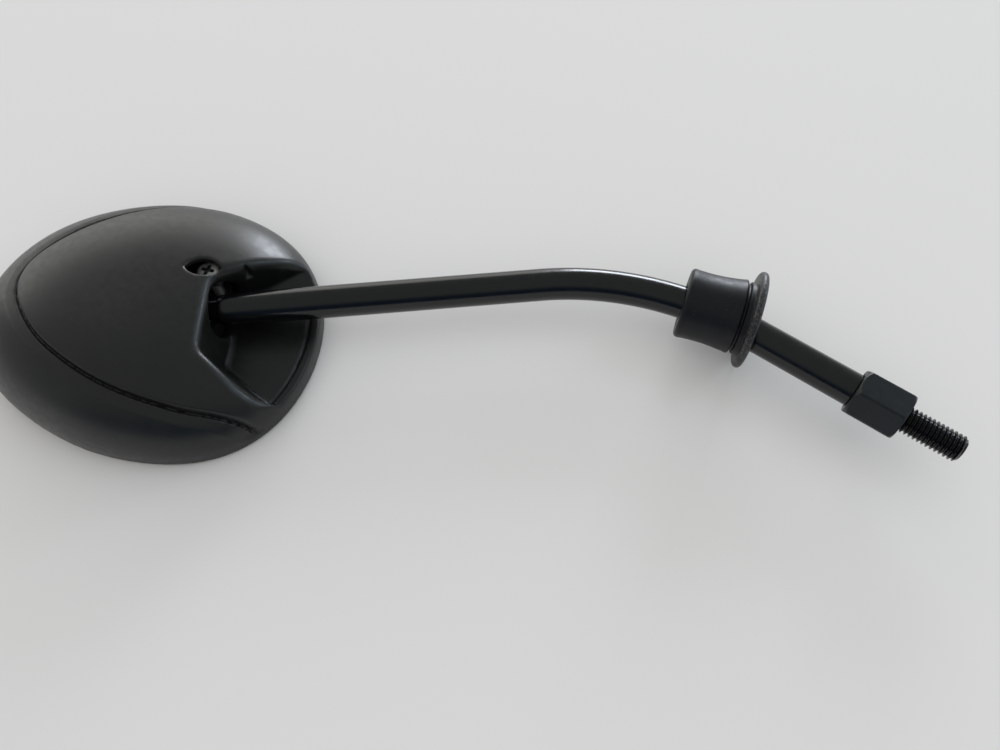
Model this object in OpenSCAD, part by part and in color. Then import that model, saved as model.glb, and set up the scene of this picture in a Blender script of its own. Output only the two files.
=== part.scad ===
// Motor scooter mirror, lying on its glass as it was photographed.
// Origin: root of the exposed stud, on its axis. +X runs out along the stud, +Z up, millimetres.
// The table that it lies on is at z = -axis_h.

/* [Stem] */
// Diameter of the bent rod
rod_d = 10; // [9:0.5:11]
// Diameter of the neck behind the ball
neck_d = 8; // [7:0.5:9]
// Diameter of the rod where its taper begins, beside the neck
taper_d = 9.2; // [9:0.1:10]
// Length of the taper
taper_len = 24; // [12:1:40]
// Ball centre to the shoulder where the neck ends
neck_len = 10.4; // [10:0.1:14]
// Diameter of the pivot ball
ball_d = 16; // [15:0.5:16.5]
// Ball centre to the start of the bend
upper_len = 108.7; // [90:1:140]
// Radius of the bend, at the rod's axis
bend_r = 90; // [80:1:110]
// Angle that the rod is bent through
bend_angle = 42; // [30:1:50]
// End of the bend to the face of the lock nut
lower_len = 33.5; // [30:0.5:60]
// Diameter over the stud's thread
stud_d = 8; // [7.5:0.5:8]
// Length of stud beyond the lock nut
stud_len = 17; // [12:1:30]
// Chamfer on the stud's tip
stud_chamfer = 0.8; // [0.4:0.1:1.2]
// Height of the stem's axis above the table
axis_h = 15.2; // [15:0.1:16]

/* [Lock nut] */
// Width across the flats
nut_af = 14; // [13:0.5:15]
// Length of the nut
nut_len = 14.5; // [12:0.5:18]
// Turn of the nut on its thread, in degrees
nut_turn = 7; // [0:1:60]
// Depth of the counterbore that the rod's end sits in
nut_counterbore = 2; // [1.5:0.1:3]
// Radial clearance of the thread in the nut
thread_gap = 0.05; // [0.03:0.01:0.08]
// Radial clearance of the rod in the counterbore
counterbore_gap = 0.35; // [0.2:0.05:0.5]

/* [Rubber boot] */
// Diameter of the boot's body
boot_d = 21; // [20:0.5:23]
// Length of the boot's body, from its lip to the panel groove
boot_len = 16; // [14:0.5:18]
// Width of the panel groove
groove_w = 1.2; // [1:0.1:2]
// Depth of the panel groove
groove_depth = 0.7; // [0.4:0.1:0.8]
// Width of the ring between the groove and the flange
ring_w = 1.6; // [1:0.1:2]
// Thickness of the flange
flange_t = 2.4; // [1.6:0.1:3]
// Wall of the boot
boot_wall = 1.7; // [1.6:0.1:2]
// Length of the lip that holds the rod
lip_len = 1.8; // [1.4:0.1:2.5]
// Radial clearance between the lip and the rod
lip_gap = 0.65; // [0.6:0.05:0.8]
// How far the boot hangs below the rod's axis
boot_drop = 0.25; // [0.1:0.05:0.3]
// Place of the lip on the bend, in degrees back from the bend's lower end
boot_at = 13.3; // [12:0.1:16]
// Extra tilt of the boot against the rod, in degrees
boot_cant = 1.7; // [0:0.1:2]

/* [Head outline] */
// Length of the head
head_len = 106; // [104:1:114]
// Width of the head
head_wid = 88; // [86:1:96]
// Fullness of the outline's ends
egg_power = 1.8; // [1.75:0.05:2.1]
// How much wider the outline is at the stem's end
egg_taper = 0.10; // [0.06:0.01:0.14]
// How much the outline's shoulders swell
egg_swell = 0.18; // [0.12:0.01:0.22]
// How much fuller the upper side is than the lower
egg_skew = 0.07; // [0.04:0.01:0.09]
// Angle from the stem to the head's long axis, in degrees
head_lean = 20; // [16:1:24]
// Ball centre from the middle of the outline, along the head
ball_x = 14; // [13:0.5:15]
// Ball centre from the middle of the outline, across the head
ball_y = 3.5; // [3:0.5:4.5]

/* [Rear shell] */
// Height of the hood above the table
hood_h = 28; // [27.5:0.1:30]
// Height of the upright side wall
side_h = 4; // [3.5:0.5:5]
// Wall thickness of the shell
wall = 2.2; // [2:0.1:2.4]
// Roundness of the hood's section
dome_power = 2.8; // [2.6:0.1:3.2]
// Gap under the shell's edge, filled by the gasket's lip
edge_gap = 0.9; // [0.7:0.1:1.2]
// Width of the step line round the hood
line_w = 2.4; // [1.6:0.1:3]
// Depth of the step line
line_depth = 0.9; // [0.5:0.1:1.1]
// Length of the screwdriver slot
slot_len = 10; // [9:0.5:11]
// Width of the screwdriver slot
slot_wid = 6; // [5:0.5:6.5]

/* [Stem recess] */
// Height of the recess floor
floor_h = 5.9; // [5.8:0.1:6.4]
// Thickness of the recess floor
floor_t = 1.5; // [1.2:0.1:1.5]
// Height of the raised pad on the floor
pad_h = 0.8; // [0.4:0.1:0.9]
// Height of the rim where the stem crosses it
rim_h = 7.2; // [7:0.1:7.6]
// Thickness of that rim
rim_t = 2.6; // [2.2:0.1:3]
// Thickness of the recess walls
recess_wall = 1.7; // [1.5:0.1:1.9]
// How much wider the recess is above its rim
recess_draft = 0.3; // [0.2:0.05:0.5]
// Distance from the rim to the raised pad
pad_margin = 1.2; // [0.8:0.1:2]
// Diameter of the hole that the neck passes through
neck_hole_d = 17; // [16.5:0.5:18]

/* [Mirror] */
// Radius that the glass is curved to
glass_r = 1200; // [1000:50:2000]
// Thickness of the glass
glass_t = 1.8; // [1.6:0.1:2]
// Height of the middle of the glass above the table
glass_h = 0.7; // [0.6:0.1:0.9]
// Width of the gasket's lips over the glass
lip_w = 1.6; // [1.2:0.1:2]
// Wall of the gasket round the glass edge
gasket_wall = 1.2; // [1:0.1:1.4]
// Distance from the gasket to the foam pad's edge
foam_margin = 3; // [2:0.5:8]

/* [Ball clamp] */
// Thickness of the plastic liners round the ball
liner_t = 1.2; // [1:0.1:1.4]
// Running clearance of the ball and of the liners
ball_gap = 0.05; // [0.03:0.01:0.08]
// Thickness of the two steel plates
plate_t = 1.6; // [1.4:0.1:1.8]
// Half of the space between the plates
plate_gap = 3.2; // [3:0.1:3.4]
// Radius of the plates round the ball
plate_r = 12; // [11.5:0.5:12.5]
// Diameter of the tension screw
screw_d = 4; // [3.5:0.5:4]
// Diameter of its pan head
screw_head_d = 7; // [6.5:0.5:7]
// Height of its pan head
screw_head_h = 2.2; // [1.8:0.1:2.3]
// Thickness of the spring washer
washer_t = 1; // [0.8:0.1:1.1]
// Diameter of the three fixing screws
fixing_d = 3.5; // [3:0.5:4]
// Length of the fixing screws in their bosses
fixing_len = 9; // [6:1:11]
// Diameter of the screw bosses
boss_d = 7.4; // [7:0.2:8.4]

/* [Hidden] */
$fn = 64;

// Small working clearances
slip = 0.05;
cut = 1;

// Stem
stud_core_d = stud_d - 0.8;
rod_end = nut_len - nut_counterbore + 0.7;
lower_full = lower_len + nut_len;
bend_centre = [-lower_full, -bend_r];
bend_start = bend_centre + bend_r * [-sin(bend_angle), cos(bend_angle)];
ball_pos = bend_start - upper_len * [cos(bend_angle), sin(bend_angle)];

// Rubber boot, with its own axis along +X
boot_tilt = boot_at + boot_cant;
boot_pos = bend_centre + bend_r * [-sin(boot_at), cos(boot_at)];
flange_r = axis_h - boot_drop;
boot_total = boot_len + groove_w + ring_w + flange_t;

// Head outline. Its points are [x, y] from the middle of the head, x towards the stem.
half_len = head_len / 2;
half_wid = head_wid / 2;
head_turn = bend_angle - head_lean;
egg_steps = 84;
dome_steps = 11;

// Heights inside the head
ball_r = ball_d / 2;
liner_r = ball_r + ball_gap + liner_t;
seat_r = liner_r + ball_gap;
plate_low = axis_h - plate_gap - plate_t;
plate_high = axis_h + plate_gap;
floor_under = floor_h - floor_t;
glass_inset = wall + slip + gasket_wall;
edge_rise = pow(half_len, 2) / (2 * glass_r);
gasket_top = floor_under - slip;
glass_back = glass_h + glass_t;

// Places in the head, from the ball's centre in the head's directions
screw_at = [4.4, 11.8];
fixing_at = [[-12.5, 13.4], [-17, -6.1], [0, -18]];
heel_reach = 13.5;
neck_notch = neck_d + 5.4;
plate_cut_back = 3.6;
arm_step = 0.6;
lobe_r = screw_head_d / 2 + 0.3;
fixing_head_d = fixing_d * 1.85;
fixing_head_h = fixing_d * 0.65;

// Plan of the stem recess and of what lies in it
recess_plan = [[22.6, 12.1], [28.5, -11.0], [52.0, -22.6], [62, -18], [62, 24], [41.5, 31.5]];
recess_round = [5, 4, 3, 1, 1, 4];
pad_plan = [[27.2, 7.5], [30.0, -7.6], [47.0, -15.2], [58, -12], [58, 18], [37, 18]];
pad_round = [2, 3, 2, 1, 1, 3];

// Plan of the step line round the hood, from the stem's end along the lower side and back
line_plan = [[48.5, -23.4], [44.5, -24.3], [37.9, -26.0], [27.2, -28.2], [12.8, -28.2], [-0.2, -25.8],
             [-14.6, -20.4], [-24.6, -14.0], [-32.4, -6.5], [-35.3, 1.0], [-33.6, 9.1],
             [-25.4, 21.1], [-14.5, 32.0], [-3.0, 39.6], [8.0, 44.6], [16, 47.5]];

black_plastic = [0.13, 0.13, 0.14];
black_paint = [0.08, 0.08, 0.10];
black_rubber = [0.06, 0.06, 0.07];
bright_steel = [0.70, 0.70, 0.72];
white_nylon = [0.85, 0.84, 0.80];

// One point of the head's outline, or of a level line inside it
function signed_power(v, e) = sign(v) * pow(abs(v), e);
function egg_point(inset, t, level) =
    let (x = signed_power(cos(t), 2 / egg_power) * pow(level, 2 / egg_power),
         u = (1 + egg_taper * x + egg_swell * x * x) * sin(t) * level)
    [(half_len - inset) * x,
     (half_wid - inset) * (1 - sqrt(1 - 4 * egg_skew * u)) / (2 * egg_skew)];
function egg(inset, level = 1) = [for (i = [0 : egg_steps - 1]) egg_point(inset, i * 360 / egg_steps, level)];

// Where a point of the plan lies between the hood's top, 0, and the outline, 1
function egg_level(p) =
    let (x = p[0] / half_len, y = p[1] / half_wid,
         u = (y - egg_skew * y * y) / (1 + egg_taper * x + egg_swell * x * x))
    sqrt(pow(abs(x), egg_power) + u * u);
function hood_z(p) = let (level = min(egg_level(p), 1))
    side_h + (hood_h - side_h) * sqrt(1 - pow(level, dome_power));

// A polygon with its corners rounded
function rounded(plan, radii, steps = 5) =
    [for (i = [0 : len(plan) - 1])
        let (p = plan[i], a = plan[(i + len(plan) - 1) % len(plan)], b = plan[(i + 1) % len(plan)],
             u = (a - p) / norm(a - p), v = (b - p) / norm(b - p),
             half = acos(u * v) / 2, middle = (u + v) / norm(u + v),
             centre = p + middle * radii[i] / sin(half),
             from = p + u * radii[i] / tan(half) - centre,
             turn = (180 - 2 * half) * sign(u[0] * v[1] - u[1] * v[0]))
        for (k = [0 : steps])
            let (t = -turn * k / steps)
            centre + [from[0] * cos(t) - from[1] * sin(t), from[0] * sin(t) + from[1] * cos(t)]];

// A smooth curve through the points of a plan
function curve_point(a, b, c, d, t) =
    0.5 * ((2 * b) + (c - a) * t + (2 * a - 5 * b + 4 * c - d) * t * t + (3 * b - a - 3 * c + d) * t * t * t);
function curve(plan, steps) =
    [for (i = [0 : len(plan) - 2]) for (k = [0 : steps - 1])
        curve_point(plan[max(i - 1, 0)], plan[i], plan[i + 1], plan[min(i + 2, len(plan) - 1)], k / steps)];

// Places
module on_upper_stem() {
    translate([ball_pos[0], ball_pos[1], 0]) rotate([0, 0, bend_angle]) children();
}

module in_ball() {
    translate([ball_pos[0], ball_pos[1], -axis_h]) rotate([0, 0, head_turn]) children();
}

module in_head() {
    in_ball() translate([-ball_x, -ball_y, 0]) children();
}

module along_x(x = 0) {
    translate([x, 0, 0]) rotate([0, 90, 0]) children();
}

// Stem: ball, neck, taper, bend and stud, turned and bent from one rod
module neck_profile() {
    shoulder_r = (taper_d - neck_d) / 2;
    polygon(concat([[0, 0], [neck_d / 2, 0], [neck_d / 2, neck_len]],
                   [for (k = [1 : 5]) [taper_d / 2 - shoulder_r * (1 - sin(k * 18)),
                                       neck_len + shoulder_r * (1 - cos(k * 18))]],
                   [[rod_d / 2, neck_len + taper_len], [rod_d / 2, upper_len], [0, upper_len]]));
}

module stud_profile() {
    tip = stud_len - stud_chamfer;
    polygon([[0, -lower_full], [rod_d / 2, -lower_full], [rod_d / 2, -rod_end - 0.5],
             [rod_d / 2 - 0.5, -rod_end], [stud_core_d / 2, -rod_end], [stud_core_d / 2, 0],
             [stud_d / 2, 0], [stud_d / 2, tip], [stud_d / 2 - stud_chamfer, stud_len], [0, stud_len]]);
}

module stem_rod() {
    color(black_paint) {
        on_upper_stem() {
            sphere(d = ball_d);
            along_x() rotate_extrude() neck_profile();
            // A core that runs through the joint makes one solid of the straight and the bend
            along_x(upper_len - 1) cylinder(d = rod_d - 2, h = 2);
        }
        translate([bend_centre[0], bend_centre[1], 0]) rotate([0, 0, 90])
            rotate_extrude(angle = bend_angle, $fn = 180) translate([bend_r, 0]) circle(d = rod_d);
        along_x() rotate_extrude() stud_profile();
    }
}

// Lock nut, its thread bored plain
module nut_blank() {
    corner_r = nut_af / 2 / cos(30);
    corner_cut = corner_r - nut_af / 2;
    intersection() {
        cylinder(r = corner_r, h = nut_len, $fn = 6);
        rotate_extrude() polygon([[0, 0], [nut_af / 2 - 0.2, 0], [corner_r + 0.1, corner_cut * 1.1],
                                  [corner_r + 0.1, nut_len - corner_cut * 0.6],
                                  [nut_af / 2 + 0.2, nut_len], [0, nut_len]]);
    }
}

module lock_nut() {
    color(black_paint)
    rotate([nut_turn, 0, 0]) along_x(-nut_len) difference() {
        nut_blank();
        translate([0, 0, -cut]) cylinder(d = stud_core_d + 2 * thread_gap, h = nut_len + 2 * cut);
        translate([0, 0, -cut]) cylinder(d = rod_d + 2 * counterbore_gap, h = nut_counterbore + cut);
    }
}

// Rubber boot: a lip on the rod, a hollow body, a panel groove and a flange
module boot_profile() {
    body_r = boot_d / 2;
    waist_r = body_r - 0.35;
    lip_r = rod_d / 2 + lip_gap;
    hollow_r = body_r - boot_wall;
    ring_x = boot_len + groove_w;
    flange_x = ring_x + ring_w;
    round_r = flange_t / 2;
    polygon(concat(
        [[lip_r + 0.4, 0], [body_r - 1.2, 0], [body_r - 0.5, 0.3], [body_r - 0.1, 1.1],
         [waist_r, boot_len * 0.4], [body_r - 0.15, boot_len - 1.6], [body_r, boot_len - 0.8],
         [body_r - 0.2, boot_len], [body_r - groove_depth, boot_len], [body_r - groove_depth, ring_x],
         [body_r + 0.2, ring_x], [body_r + 0.4, ring_x + 0.3], [body_r + 0.4, flange_x]],
        [for (k = [0 : 6]) [flange_r - round_r + round_r * sin(k * 30),
                            flange_x + round_r - round_r * cos(k * 30)]],
        [[hollow_r + 0.4, boot_total], [hollow_r, boot_total - 0.4], [hollow_r, lip_len + 2.2],
         [hollow_r - 1.4, lip_len + 0.4], [lip_r + 0.4, lip_len], [lip_r, lip_len - 0.5], [lip_r, 0.5]]));
}

module rubber_boot() {
    color(black_rubber)
    translate([boot_pos[0], boot_pos[1], -boot_drop]) rotate([0, 0, boot_tilt])
        along_x(-lip_len / 2) rotate_extrude() boot_profile();
}

// Rear shell: one moulding with its hood, stem recess, step line, slot and screw bosses
module dome(inset, foot) {
    rings = concat([[for (p = egg(inset)) [p[0], p[1], foot]]],
        [for (k = [0 : dome_steps - 1])
            let (rise = 90 * k / dome_steps, level = pow(cos(rise), 2 / dome_power))
            [for (p = egg(inset, level)) [p[0], p[1], side_h + (hood_h - inset - side_h) * sin(rise)]]]);
    n = egg_steps;
    last = len(rings) - 1;
    polyhedron(
        points = concat([for (ring = rings) for (p = ring) p], [[0, 0, hood_h - inset]]),
        faces = concat(
            [[for (i = [0 : n - 1]) i]],
            [for (k = [0 : last - 1]) for (i = [0 : n - 1]) let (j = (i + 1) % n)
                [k * n + i, (k + 1) * n + i, (k + 1) * n + j, k * n + j]],
            [for (i = [0 : n - 1]) [last * n + i, len(rings) * n, last * n + (i + 1) % n]]),
        convexity = 6);
}

module band(inset_out, inset_in, z0, z1) {
    translate([0, 0, z0]) linear_extrude(z1 - z0) difference() {
        polygon(egg(inset_out));
        polygon(egg(inset_in));
    }
}

module recess_walls() {
    translate([0, 0, floor_under]) linear_extrude(hood_h)
        offset(r = recess_wall) polygon(rounded(recess_plan, recess_round));
}

module recess_space() {
    translate([0, 0, floor_h]) linear_extrude(hood_h) intersection() {
        polygon(rounded(recess_plan, recess_round));
        polygon(egg(rim_t));
    }
    translate([0, 0, rim_h]) linear_extrude(hood_h)
        offset(r = recess_draft) polygon(rounded(recess_plan, recess_round));
}

module recess_pad() {
    translate([0, 0, floor_under + floor_t / 2]) linear_extrude(floor_t / 2 + pad_h) intersection() {
        polygon(rounded(pad_plan, pad_round));
        polygon(egg(rim_t + pad_margin));
    }
}

module step_line() {
    points = curve(line_plan, 2);
    for (i = [0 : len(points) - 2])
        hull() for (p = [points[i], points[i + 1]])
            translate([p[0], p[1], hood_z(p)]) scale([1, 1, 2 * line_depth / line_w])
                sphere(d = line_w, $fn = 8);
}

module at_ball() {
    translate([ball_x, ball_y, 0]) children();
}

module along_neck() {
    at_ball() translate([0, 0, axis_h]) rotate([0, 0, head_lean]) along_x() children();
}

module screw_slot() {
    // Two circles of this radius overlap in a lens of the slot's length and width
    arc_r = (slot_len * slot_len + slot_wid * slot_wid) / (4 * slot_wid);
    at_ball() translate([screw_at[0], screw_at[1] - 1, plate_high]) rotate([0, 0, head_lean])
        linear_extrude(hood_h) intersection_for (side = [-1, 1])
            translate([0, side * (arc_r - slot_wid / 2)]) circle(r = arc_r, $fn = 96);
}

module bosses() {
    at_ball() for (p = fixing_at)
        translate([p[0], p[1], plate_low + plate_t]) cylinder(d = boss_d, h = hood_h, $fn = 28);
}

module boss_holes() {
    at_ball() for (p = fixing_at)
        translate([p[0], p[1], 0])
            cylinder(d = fixing_d + 0.3, h = plate_low + plate_t + fixing_len + 0.5, $fn = 24);
}

module shell_ribs() {
    // Two stiffening ribs run from the bosses to the tip end of the head
    rib_t = 1.6;
    for (p = [fixing_at[0], fixing_at[1]]) at_ball()
        hull() for (q = [p, [p[0] - 24, p[1] * 0.4]])
            translate([q[0], q[1], plate_low + plate_t + 6]) cylinder(d = rib_t, h = hood_h, $fn = 8);
}

module rear_shell() {
    color(black_plastic) in_head() difference() {
        union() {
            difference() {
                dome(0, edge_gap);
                dome(wall, -cut);
            }
            intersection() {
                dome(wall / 2, edge_gap);
                union() {
                    recess_walls();
                    bosses();
                    shell_ribs();
                    band(wall - 0.4, wall + gasket_wall + lip_w, gasket_top + slip, gasket_top + slip + 1.2);
                }
            }
        }
        difference() {
            recess_space();
            recess_pad();
        }
        step_line();
        screw_slot();
        boss_holes();
        along_neck() cylinder(d = neck_hole_d, h = neck_hole_d, $fn = 48);
    }
}

// Mirror glass: a convex disc cut to the head's outline
module curved_disc(z0, thickness) {
    steps = 10;
    reach = half_len + 4;
    function rise(r) = r * r / (2 * glass_r);
    rotate_extrude($fn = 120) polygon(concat(
        [for (k = [0 : steps]) [reach * k / steps, z0 + rise(reach * k / steps)]],
        [for (k = [steps : -1 : 0]) [reach * k / steps, z0 + thickness + rise(reach * k / steps)]]));
}

module mirror_glass() {
    color([0.75, 0.80, 0.85]) in_head() intersection() {
        curved_disc(glass_h, glass_t);
        linear_extrude(3 * axis_h, center = true) polygon(egg(glass_inset + slip));
    }
}

// Gasket: a soft channel that grips the edge of the glass, with a lip under the shell's edge
module glass_gasket() {
    // The lower lip follows the glass where the head is narrowest
    narrow = (sqrt(1 + 4 * egg_skew) - 1) / (2 * egg_skew);
    groove_low = glass_h + pow(narrow * (half_wid - glass_inset - lip_w), 2) / (2 * glass_r) - slip;
    groove_high = glass_back + edge_rise + slip;
    color(black_rubber) in_head() difference() {
        union() {
            linear_extrude(edge_gap - slip) polygon(egg(0.3));
            linear_extrude(gasket_top) polygon(egg(wall + slip));
        }
        translate([0, 0, -cut]) linear_extrude(axis_h) polygon(egg(glass_inset + lip_w));
        translate([0, 0, groove_low]) linear_extrude(groove_high - groove_low) polygon(egg(glass_inset));
    }
}

// Foam pad between the glass and the recess floor
module foam_pad() {
    color([0.25, 0.25, 0.26]) in_head() intersection() {
        curved_disc(glass_back + slip, axis_h);
        linear_extrude(floor_under - 2 * slip) polygon(egg(glass_inset + lip_w + foam_margin));
    }
}

// Ball liners: two nylon cups with a window for the neck
module liner(side, swing) {
    // The window lets the neck swing from the first to the second of these angles
    low = asin(0.6 / ball_r);
    inner_r = ball_r + ball_gap;
    window = neck_d / 2 + 0.3;
    reach = 2 * liner_r;
    function swung(a, p) = [p[0] * cos(a) - p[1] * sin(a), p[0] * sin(a) + p[1] * cos(a)];
    color(white_nylon) on_upper_stem() difference() {
        rotate_extrude() polygon(concat(
            [for (a = [low : (90 - low) / 12 : 90]) liner_r * [cos(a), side * sin(a)]],
            [for (a = [90 : -(90 - low) / 12 : low]) inner_r * [cos(a), side * sin(a)]]));
        linear_extrude(2 * window, center = true) polygon([
            swung(swing[0], [0, -window]), swung(swing[0], [reach, -window]),
            swung(swing[1], [reach, window]), swung(swing[1], [0, window])]);
    }
}

module liner_rear() {
    liner(1, [0, 0]);
}

module liner_front() {
    liner(-1, [-19, 11]);
}

// Clamp plates: pressed steel, open towards the neck, pulled together by the tension screw
module arm(from, to, width) {
    reach = to - from;
    translate(from) rotate([0, 0, atan2(reach[1], reach[0])])
        translate([0, -width / 2]) square([norm(reach), width]);
}

module plate_outline() {
    difference() {
        union() {
            difference() {
                circle(r = plate_r);
                rotate([0, 0, head_lean])
                    translate([neck_len - plate_cut_back, -2 * plate_r]) square([plate_r, 4 * plate_r]);
            }
            arm(screw_at * 0.6, screw_at, 2 * lobe_r - arm_step);
            translate(screw_at) circle(r = lobe_r);
        }
        rotate([0, 0, head_lean]) translate([ball_r / 2, -neck_notch / 2]) square([2 * plate_r, neck_notch]);
    }
}

module ball_seat(z) {
    // A cone through the plate, clear of the liner all along
    function seat_at(h) = sqrt(pow(seat_r + slip, 2) - pow(h - axis_h, 2));
    rotate_extrude() polygon([[0, z - cut], [seat_at(z), z - cut], [seat_at(z), z],
                              [seat_at(z + plate_t), z + plate_t],
                              [seat_at(z + plate_t), z + plate_t + cut], [0, z + plate_t + cut]]);
}

module clamp_plate(z, heel) {
    color(bright_steel) in_ball() difference() {
        union() {
            translate([0, 0, z]) linear_extrude(plate_t) {
                plate_outline();
                children();
            }
            if (heel) heel_leg();
        }
        ball_seat(z);
        translate([screw_at[0], screw_at[1], z - cut]) cylinder(d = screw_d + 0.3, h = plate_t + 2 * cut);
    }
}

module heel_leg() {
    // The rear plate's heel is bent down and stands on the front plate, opposite the screw
    away = -screw_at / norm(screw_at);
    leg_w = 4.5;
    rotate([0, 0, atan2(away[1], away[0])]) {
        translate([plate_r - 2, -leg_w / 2, plate_high])
            cube([heel_reach + plate_t - plate_r + 2, leg_w, plate_t]);
        translate([heel_reach, -leg_w / 2, plate_low + plate_t])
            cube([plate_t, leg_w, plate_high - plate_low]);
    }
}

module clamp_plate_rear() {
    clamp_plate(plate_high, true);
}

module clamp_plate_front() {
    away = -screw_at / norm(screw_at);
    difference() {
        clamp_plate(plate_low, false) {
            arm([0, 0], away * (heel_reach + plate_t + 1), 9);
            for (p = fixing_at) {
                arm(p * 0.5, p, boss_d - arm_step);
                translate(p) circle(d = boss_d);
            }
        }
        in_ball() for (p = fixing_at)
            translate([p[0], p[1], plate_low - cut]) cylinder(d = fixing_d + 0.3, h = plate_t + 2 * cut);
    }
}

// Fasteners
module pan_screw(d, head_d, head_h, length) {
    // The head stands on z = 0 and the shank runs down from it
    slot_w = head_d * 0.16;
    translate([0, 0, -length]) cylinder(d = d, h = length + 0.1);
    difference() {
        rotate_extrude() polygon([[0, 0], [head_d / 2, 0], [head_d / 2, head_h * 0.45],
                                  [head_d * 0.44, head_h * 0.75], [head_d * 0.32, head_h * 0.95],
                                  [0, head_h]]);
        for (turn = [0, 90]) rotate([0, 0, turn])
            translate([-head_d * 0.3, -slot_w / 2, head_h * 0.4]) cube([head_d * 0.6, slot_w, head_h]);
    }
}

module tension_screw() {
    seat_z = plate_high + plate_t + washer_t;
    color(bright_steel) in_ball() translate([screw_at[0], screw_at[1], seat_z])
        pan_screw(screw_d, screw_head_d, screw_head_h, seat_z - plate_low + screw_d);
}

module spring_washer() {
    color(bright_steel) in_ball() translate([screw_at[0], screw_at[1], plate_high + plate_t]) difference() {
        cylinder(d = screw_head_d - 0.2, h = washer_t);
        translate([0, 0, -cut]) cylinder(d = screw_d + 0.2, h = washer_t + 2 * cut);
        rotate([0, 0, 200]) translate([0, -0.3, -cut]) cube([screw_head_d, 0.6, washer_t + 2 * cut]);
    }
}

module tension_nut() {
    nut_h = screw_d * 0.8;
    nut_r = screw_d * 1.75 / 2 / cos(30);
    color(bright_steel) in_ball() translate([screw_at[0], screw_at[1], plate_low - nut_h]) difference() {
        cylinder(r = nut_r, h = nut_h, $fn = 6);
        translate([0, 0, -cut]) cylinder(d = screw_d + 0.06, h = nut_h + 2 * cut);
    }
}

module fixing_screws() {
    color(bright_steel) in_ball() for (p = fixing_at)
        translate([p[0], p[1], plate_low]) mirror([0, 0, 1])
            pan_screw(fixing_d, fixing_head_d, fixing_head_h, plate_t + fixing_len);
}

stem_rod();
lock_nut();
rubber_boot();
rear_shell();
mirror_glass();
glass_gasket();
foam_pad();
liner_rear();
liner_front();
clamp_plate_rear();
clamp_plate_front();
tension_screw();
spring_washer();
tension_nut();
fixing_screws();
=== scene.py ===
import math

import bmesh
import bpy
import numpy as np
import openvdb as vdb
from mathutils import Matrix, Vector


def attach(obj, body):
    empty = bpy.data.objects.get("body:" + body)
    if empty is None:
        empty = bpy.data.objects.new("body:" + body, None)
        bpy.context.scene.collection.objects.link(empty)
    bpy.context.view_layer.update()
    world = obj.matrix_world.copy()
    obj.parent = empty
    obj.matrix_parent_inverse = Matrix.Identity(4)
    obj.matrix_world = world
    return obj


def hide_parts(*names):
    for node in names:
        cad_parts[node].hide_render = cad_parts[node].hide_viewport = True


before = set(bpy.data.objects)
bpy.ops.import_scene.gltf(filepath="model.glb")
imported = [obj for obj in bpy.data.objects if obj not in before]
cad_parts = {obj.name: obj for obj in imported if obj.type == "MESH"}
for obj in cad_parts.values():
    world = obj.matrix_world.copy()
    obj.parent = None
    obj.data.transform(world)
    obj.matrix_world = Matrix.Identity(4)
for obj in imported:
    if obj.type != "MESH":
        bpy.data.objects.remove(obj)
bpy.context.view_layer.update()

MM = 0.001

# Sizes shared with the part's source
AXIS_H = 15.2
BEND_ANGLE = math.radians(42)
BEND_R = 90.0
UPPER_LEN = 108.7
LOWER_FULL = 48.0
ROD_R = 5.0
NECK_R = 4.0
TAPER_R = 4.6
NECK_LEN = 10.4
TAPER_LEN = 24.0
BALL_R = 8.0
STUD_R = 4.0
STUD_CORE_R = 3.6
STUD_LEN = 17.0
ROD_END = -13.2
HEAD_LEAN = math.radians(20)
HEAD_TURN = BEND_ANGLE - HEAD_LEAN
BALL_X, BALL_Y = 14.0, 3.5
HALF_LEN, HALF_WID = 53.0, 44.0
EGG_POWER, EGG_TAPER, EGG_SWELL, EGG_SKEW = 1.8, 0.10, 0.18, 0.07
HOOD_H, SIDE_H, WALL, DOME_POWER, EDGE_GAP = 28.0, 4.0, 2.2, 2.8, 0.9
FLOOR_H, FLOOR_T, PAD_H, RIM_H, RIM_T = 5.9, 1.5, 0.8, 7.2, 2.6
RECESS_WALL = 1.7
GLASS_R, GLASS_T, GLASS_H, LIP_W, GASKET_WALL = 1200.0, 1.8, 0.7, 1.6, 1.2
FIT_GAP = 0.05
GLASS_INSET = WALL + FIT_GAP + GASKET_WALL
PLATE_LOW, PLATE_HIGH, PLATE_T = 10.4, 18.4, 1.6
SCREW_AT = np.array([4.4, 11.8])
FIXING_AT = np.array([[-12.5, 13.4], [-17.0, -6.1], [0.0, -18.0]])

BEND_CENTRE = np.array([-LOWER_FULL, -BEND_R])
BEND_START = BEND_CENTRE + BEND_R * np.array([-math.sin(BEND_ANGLE), math.cos(BEND_ANGLE)])
UPPER_DIR = np.array([math.cos(BEND_ANGLE), math.sin(BEND_ANGLE)])
BALL = BEND_START - UPPER_LEN * UPPER_DIR

RECESS_PLAN = ([22.6, 12.1], [28.7, -10.6], [51.6, -21.6], [62, -17], [62, 24], [41.5, 31.5])
RECESS_ROUND = (5, 4, 5, 1, 1, 4)
PAD_PLAN = ([27.2, 7.5], [30.0, -7.6], [47.0, -15.2], [58, -12], [58, 18], [37, 18])
PAD_ROUND = (2, 3, 2, 1, 1, 3)
LINE_PLAN = ([48.5, -23.4], [44.5, -24.3], [37.9, -26.0], [27.2, -28.2], [12.8, -28.2], [-0.2, -25.8],
             [-14.6, -20.4], [-24.6, -14.0], [-32.4, -6.5], [-35.3, 1.0], [-33.6, 9.1],
             [-25.4, 21.1], [-14.5, 32.0], [-3.0, 39.6], [8.0, 44.6], [16, 47.5])


# Places

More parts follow.
